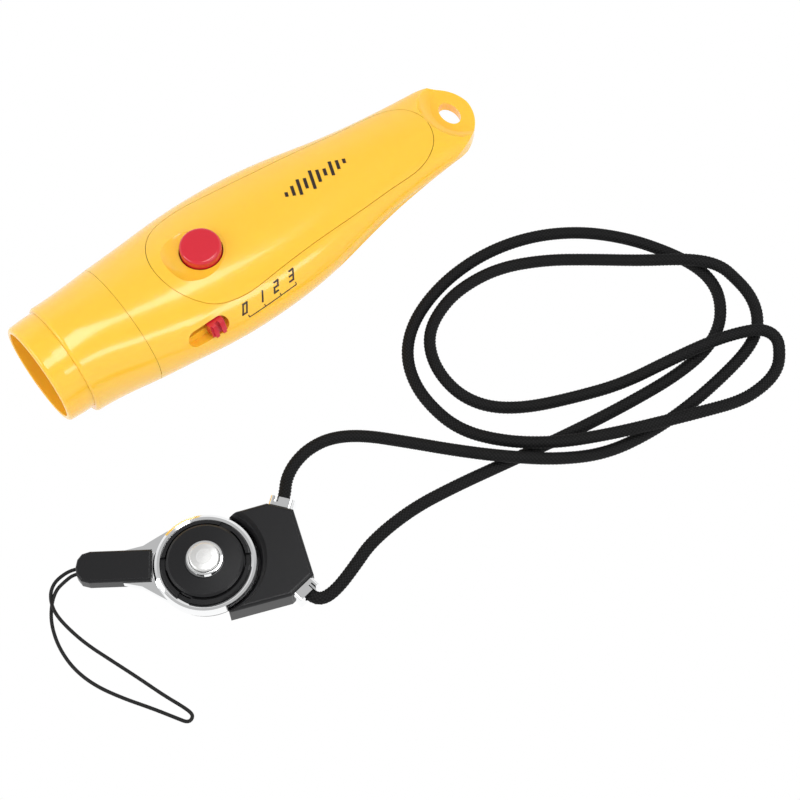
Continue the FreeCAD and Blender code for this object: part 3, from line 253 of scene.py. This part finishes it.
neck_line = route("neck_route", NECK)
neck_pts = read_line(neck_line)
loop_line = route("loop_route", LOOP)
loop_pts = read_line(loop_line)
for o in (neck_line, loop_line):
    bpy.data.objects.remove(o)
neck, neck_path, neck_len = braided("neck_cord_braid", neck_pts, 0.00166, 10, 0.0100, CORD, 0.00025, around=60, depth=0.2)
loop, loop_path, loop_len = braided("loop_cord_braid", loop_pts, 0.00047, 6, 0.0030, THIN, 0.00016, around=18, depth=0.08)
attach(neck, "lanyard")
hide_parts("neck_cord")
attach(loop, "ring")
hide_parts("loop_cord")

# ------------------------------------------------------------ printed marks
from mathutils.bvhtree import BVHTree


def tree_of(name):
    me = nodes[name].data
    return BVHTree.FromPolygons([v.co.copy() for v in me.vertices], [tuple(q.vertices) for q in me.polygons])


shell_tree = tree_of("lower_shell")
cover_tree = tree_of("top_cover")


def thicken(name, polys, tree, origin, right, up, body, lift=0.00005):
    """Flat outlines laid on a surface: each is cut into a fine grid of strips and dropped along the inward direction."""
    inward = right.cross(up) * -1
    verts, faces = [], []
    for quad in polys:
        a, b, c, d = [np.array(q, float) for q in quad]
        nu = max(1, int(np.linalg.norm(b - a) / 0.35))
        nv = max(1, int(np.linalg.norm(d - a) / 0.35))
        base = len(verts)
        for i in range(nu + 1):
            for j in range(nv + 1):
                e0 = a + (b - a) * i / nu
                e1 = d + (c - d) * i / nu
                q = e0 + (e1 - e0) * j / nv
                start = origin + right * (q[0] * MM) + up * (q[1] * MM) - inward * 0.02
                hit = tree.ray_cast(start, inward)
                if hit[0] is None:
                    raise RuntimeError(name + " misses its surface")
                verts.append(hit[0] + hit[1].normalized() * lift)
        for i in range(nu):
            for j in range(nv):
                k = base + i * (nv + 1) + j
                faces.append((k, k + nv + 1, k + nv + 2, k + 1))
    o = mesh_object(name, verts, faces, INK)
    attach(o, body)
    return o


def stroke(p, q, w):
    """A straight stroke of width w as one quad."""
    p, q = np.array(p, float), np.array(q, float)
    t = (q - p) / np.linalg.norm(q - p)
    n = np.array([-t[1], t[0]]) * w / 2
    return [p - n, q - n, q + n, p + n]


def digit(k, x, y, h, w, slant, line):
    """Generic seven-bar digits 0 to 3."""
    bars = {0: "abcdef", 1: "bc", 2: "abged", 3: "abgcd"}[k]
    P = {"a": ((0, 1), (1, 1)), "b": ((1, 1), (1, .5)), "c": ((1, .5), (1, 0)), "d": ((0, 0), (1, 0)), "e": ((0, 0), (0, .5)), "f": ((0, .5), (0, 1)), "g": ((0, .5), (1, .5))}
    out = []
    for c in bars:
        (x0, y0), (x1, y1) = P[c]
        a = np.array([x + x0 * w + slant * y0 * h, y + y0 * h])
        b = np.array([x + x1 * w + slant * y1 * h, y + y1 * h])
        t = (b - a) / np.linalg.norm(b - a) * line / 2
        out.append(stroke(a - t, b + t, line))
    return out


side_up = Vector((0, math.sin(math.radians(35)), math.cos(math.radians(35))))
side_right = Vector((1, 0, 0))
origin = Vector((0, -18.4 * MM, 16.0 * MM))
marks = []
ticks = [-18.1, -13.0, -7.9, -2.8]
marks.append(stroke((ticks[0], -1.5), (ticks[-1], -1.5), 0.26))
for i, x in enumerate(ticks):
    marks.append(stroke((x, -1.5), (x, -0.75), 0.26))
    marks += digit(i, x - 1.3, 0.15, 2.3, 1.2, 0.55, 0.46)
thicken("selector_scale_print", marks, shell_tree, origin, side_right, side_up, "housing")

wave = []
cx0 = 9.6
for i, hgt in enumerate((1.4, 3.0, 4.8, 3.2, 5.8, 3.8, 2.2, 4.4, 2.8, 1.4)):
    x = cx0 + i * 2.1
    wave.append(stroke((x - 0.2 * hgt, -hgt / 2), (x + 0.2 * hgt, hgt / 2), 0.9))
thicken("sound_wave_print", wave, cover_tree, Vector((0, 1.2 * MM, 20 * MM)), Vector((1, 0, 0)), Vector((0, 1, 0)), "housing")

# --------------------------------------------------------------- CAD shading
# shading stays with the CAD meshes as packed

# ------------------------------------------------------- camera and lighting
cam_data = bpy.data.cameras.new("camera")
cam_data.lens = 85
cam_data.sensor_width = 36
cam_data.clip_start = 0.01
cam = bpy.data.objects.new("camera", cam_data)
scene.collection.objects.link(cam)
az, el, dist = math.radians(-38.329), math.radians(64.0), 0.49062
back = Vector((math.sin(az) * math.cos(el), -math.cos(az) * math.cos(el), math.sin(el)))
right = Vector((math.cos(az), math.sin(az), 0))
upv = back.cross(right)
cam.matrix_world = Matrix.Translation(Vector((0.001999, -0.056279, 0)) + back * dist) @ Matrix((right, upv, back)).transposed().to_4x4()
scene.camera = cam

world = bpy.data.worlds.new("world")
scene.world = world
world.use_nodes = True
wn = world.node_tree
bg = wn.nodes["Background"]
bg.inputs["Color"].default_value = (1, 1, 1, 1)
seen = wn.nodes.new("ShaderNodeLightPath")
tc = wn.nodes.new("ShaderNodeTexCoord")
sep = wn.nodes.new("ShaderNodeSeparateXYZ")
sky = wn.nodes.new("ShaderNodeMapRange")
sky.inputs["From Min"].default_value = 0.42
sky.inputs["From Max"].default_value = 0.72
sky.inputs["To Min"].default_value = 0.95
sky.inputs["To Max"].default_value = 0.5
mix = wn.nodes.new("ShaderNodeMix")
mix.data_type = "FLOAT"
wn.links.new(tc.outputs["Generated"], sep.inputs["Vector"])
wn.links.new(sep.outputs["Z"], sky.inputs["Value"])
wn.links.new(seen.outputs["Is Camera Ray"], mix.inputs[0])
wn.links.new(sky.outputs["Result"], mix.inputs[2])
mix.inputs[3].default_value = 1.0
wn.links.new(mix.outputs[0], bg.inputs["Strength"])
scene.view_settings.view_transform = "Standard"
scene.view_settings.look = "None"
scene.view_settings.exposure = 0.0


def area(name, loc, aim, size, power, size_y=None, color=(1, 1, 1)):
    d = bpy.data.lights.new(name, "AREA")
    d.energy = power
    d.color = color
    d.size = size
    if size_y:
        d.shape = "RECTANGLE"
        d.size_y = size_y
    o = bpy.data.objects.new(name, d)
    scene.collection.objects.link(o)
    o.location = loc
    o.rotation_euler = (Vector(aim) - Vector(loc)).to_track_quat("-Z", "Y").to_euler()
    return o


area("key", (0.08, -0.12, 0.65), (0, -0.03, 0), 0.46, 1.6, 0.2)
area("front", (0.16, -0.46, 0.39), (0, -0.01, 0), 0.34, 0.5, 0.09)
area("strip", (-0.42, 0.1, 0.32), (0, -0.03, 0), 0.3, 0.6, 0.14)

# white table that shows only as plain white
fl = bpy.data.meshes.new("table")
fl.from_pydata([(-3, -3, -0.00005), (3, -3, -0.00005), (3, 3, -0.00005), (-3, 3, -0.00005)], [], [(0, 1, 2, 3)])
table = bpy.data.objects.new("table", fl)
scene.collection.objects.link(table)
wm = bpy.data.materials.new("m_table")
wm.use_nodes = True
nt = wm.node_tree
for nn in list(nt.nodes):
    nt.nodes.remove(nn)
out = nt.nodes.new("ShaderNodeOutputMaterial")
emit = nt.nodes.new("ShaderNodeEmission")
emit.inputs["Color"].default_value = (1, 1, 1, 1)
emit.inputs["Strength"].default_value = 1.0
nt.links.new(emit.outputs["Emission"], out.inputs["Surface"])
fl.materials.append(wm)
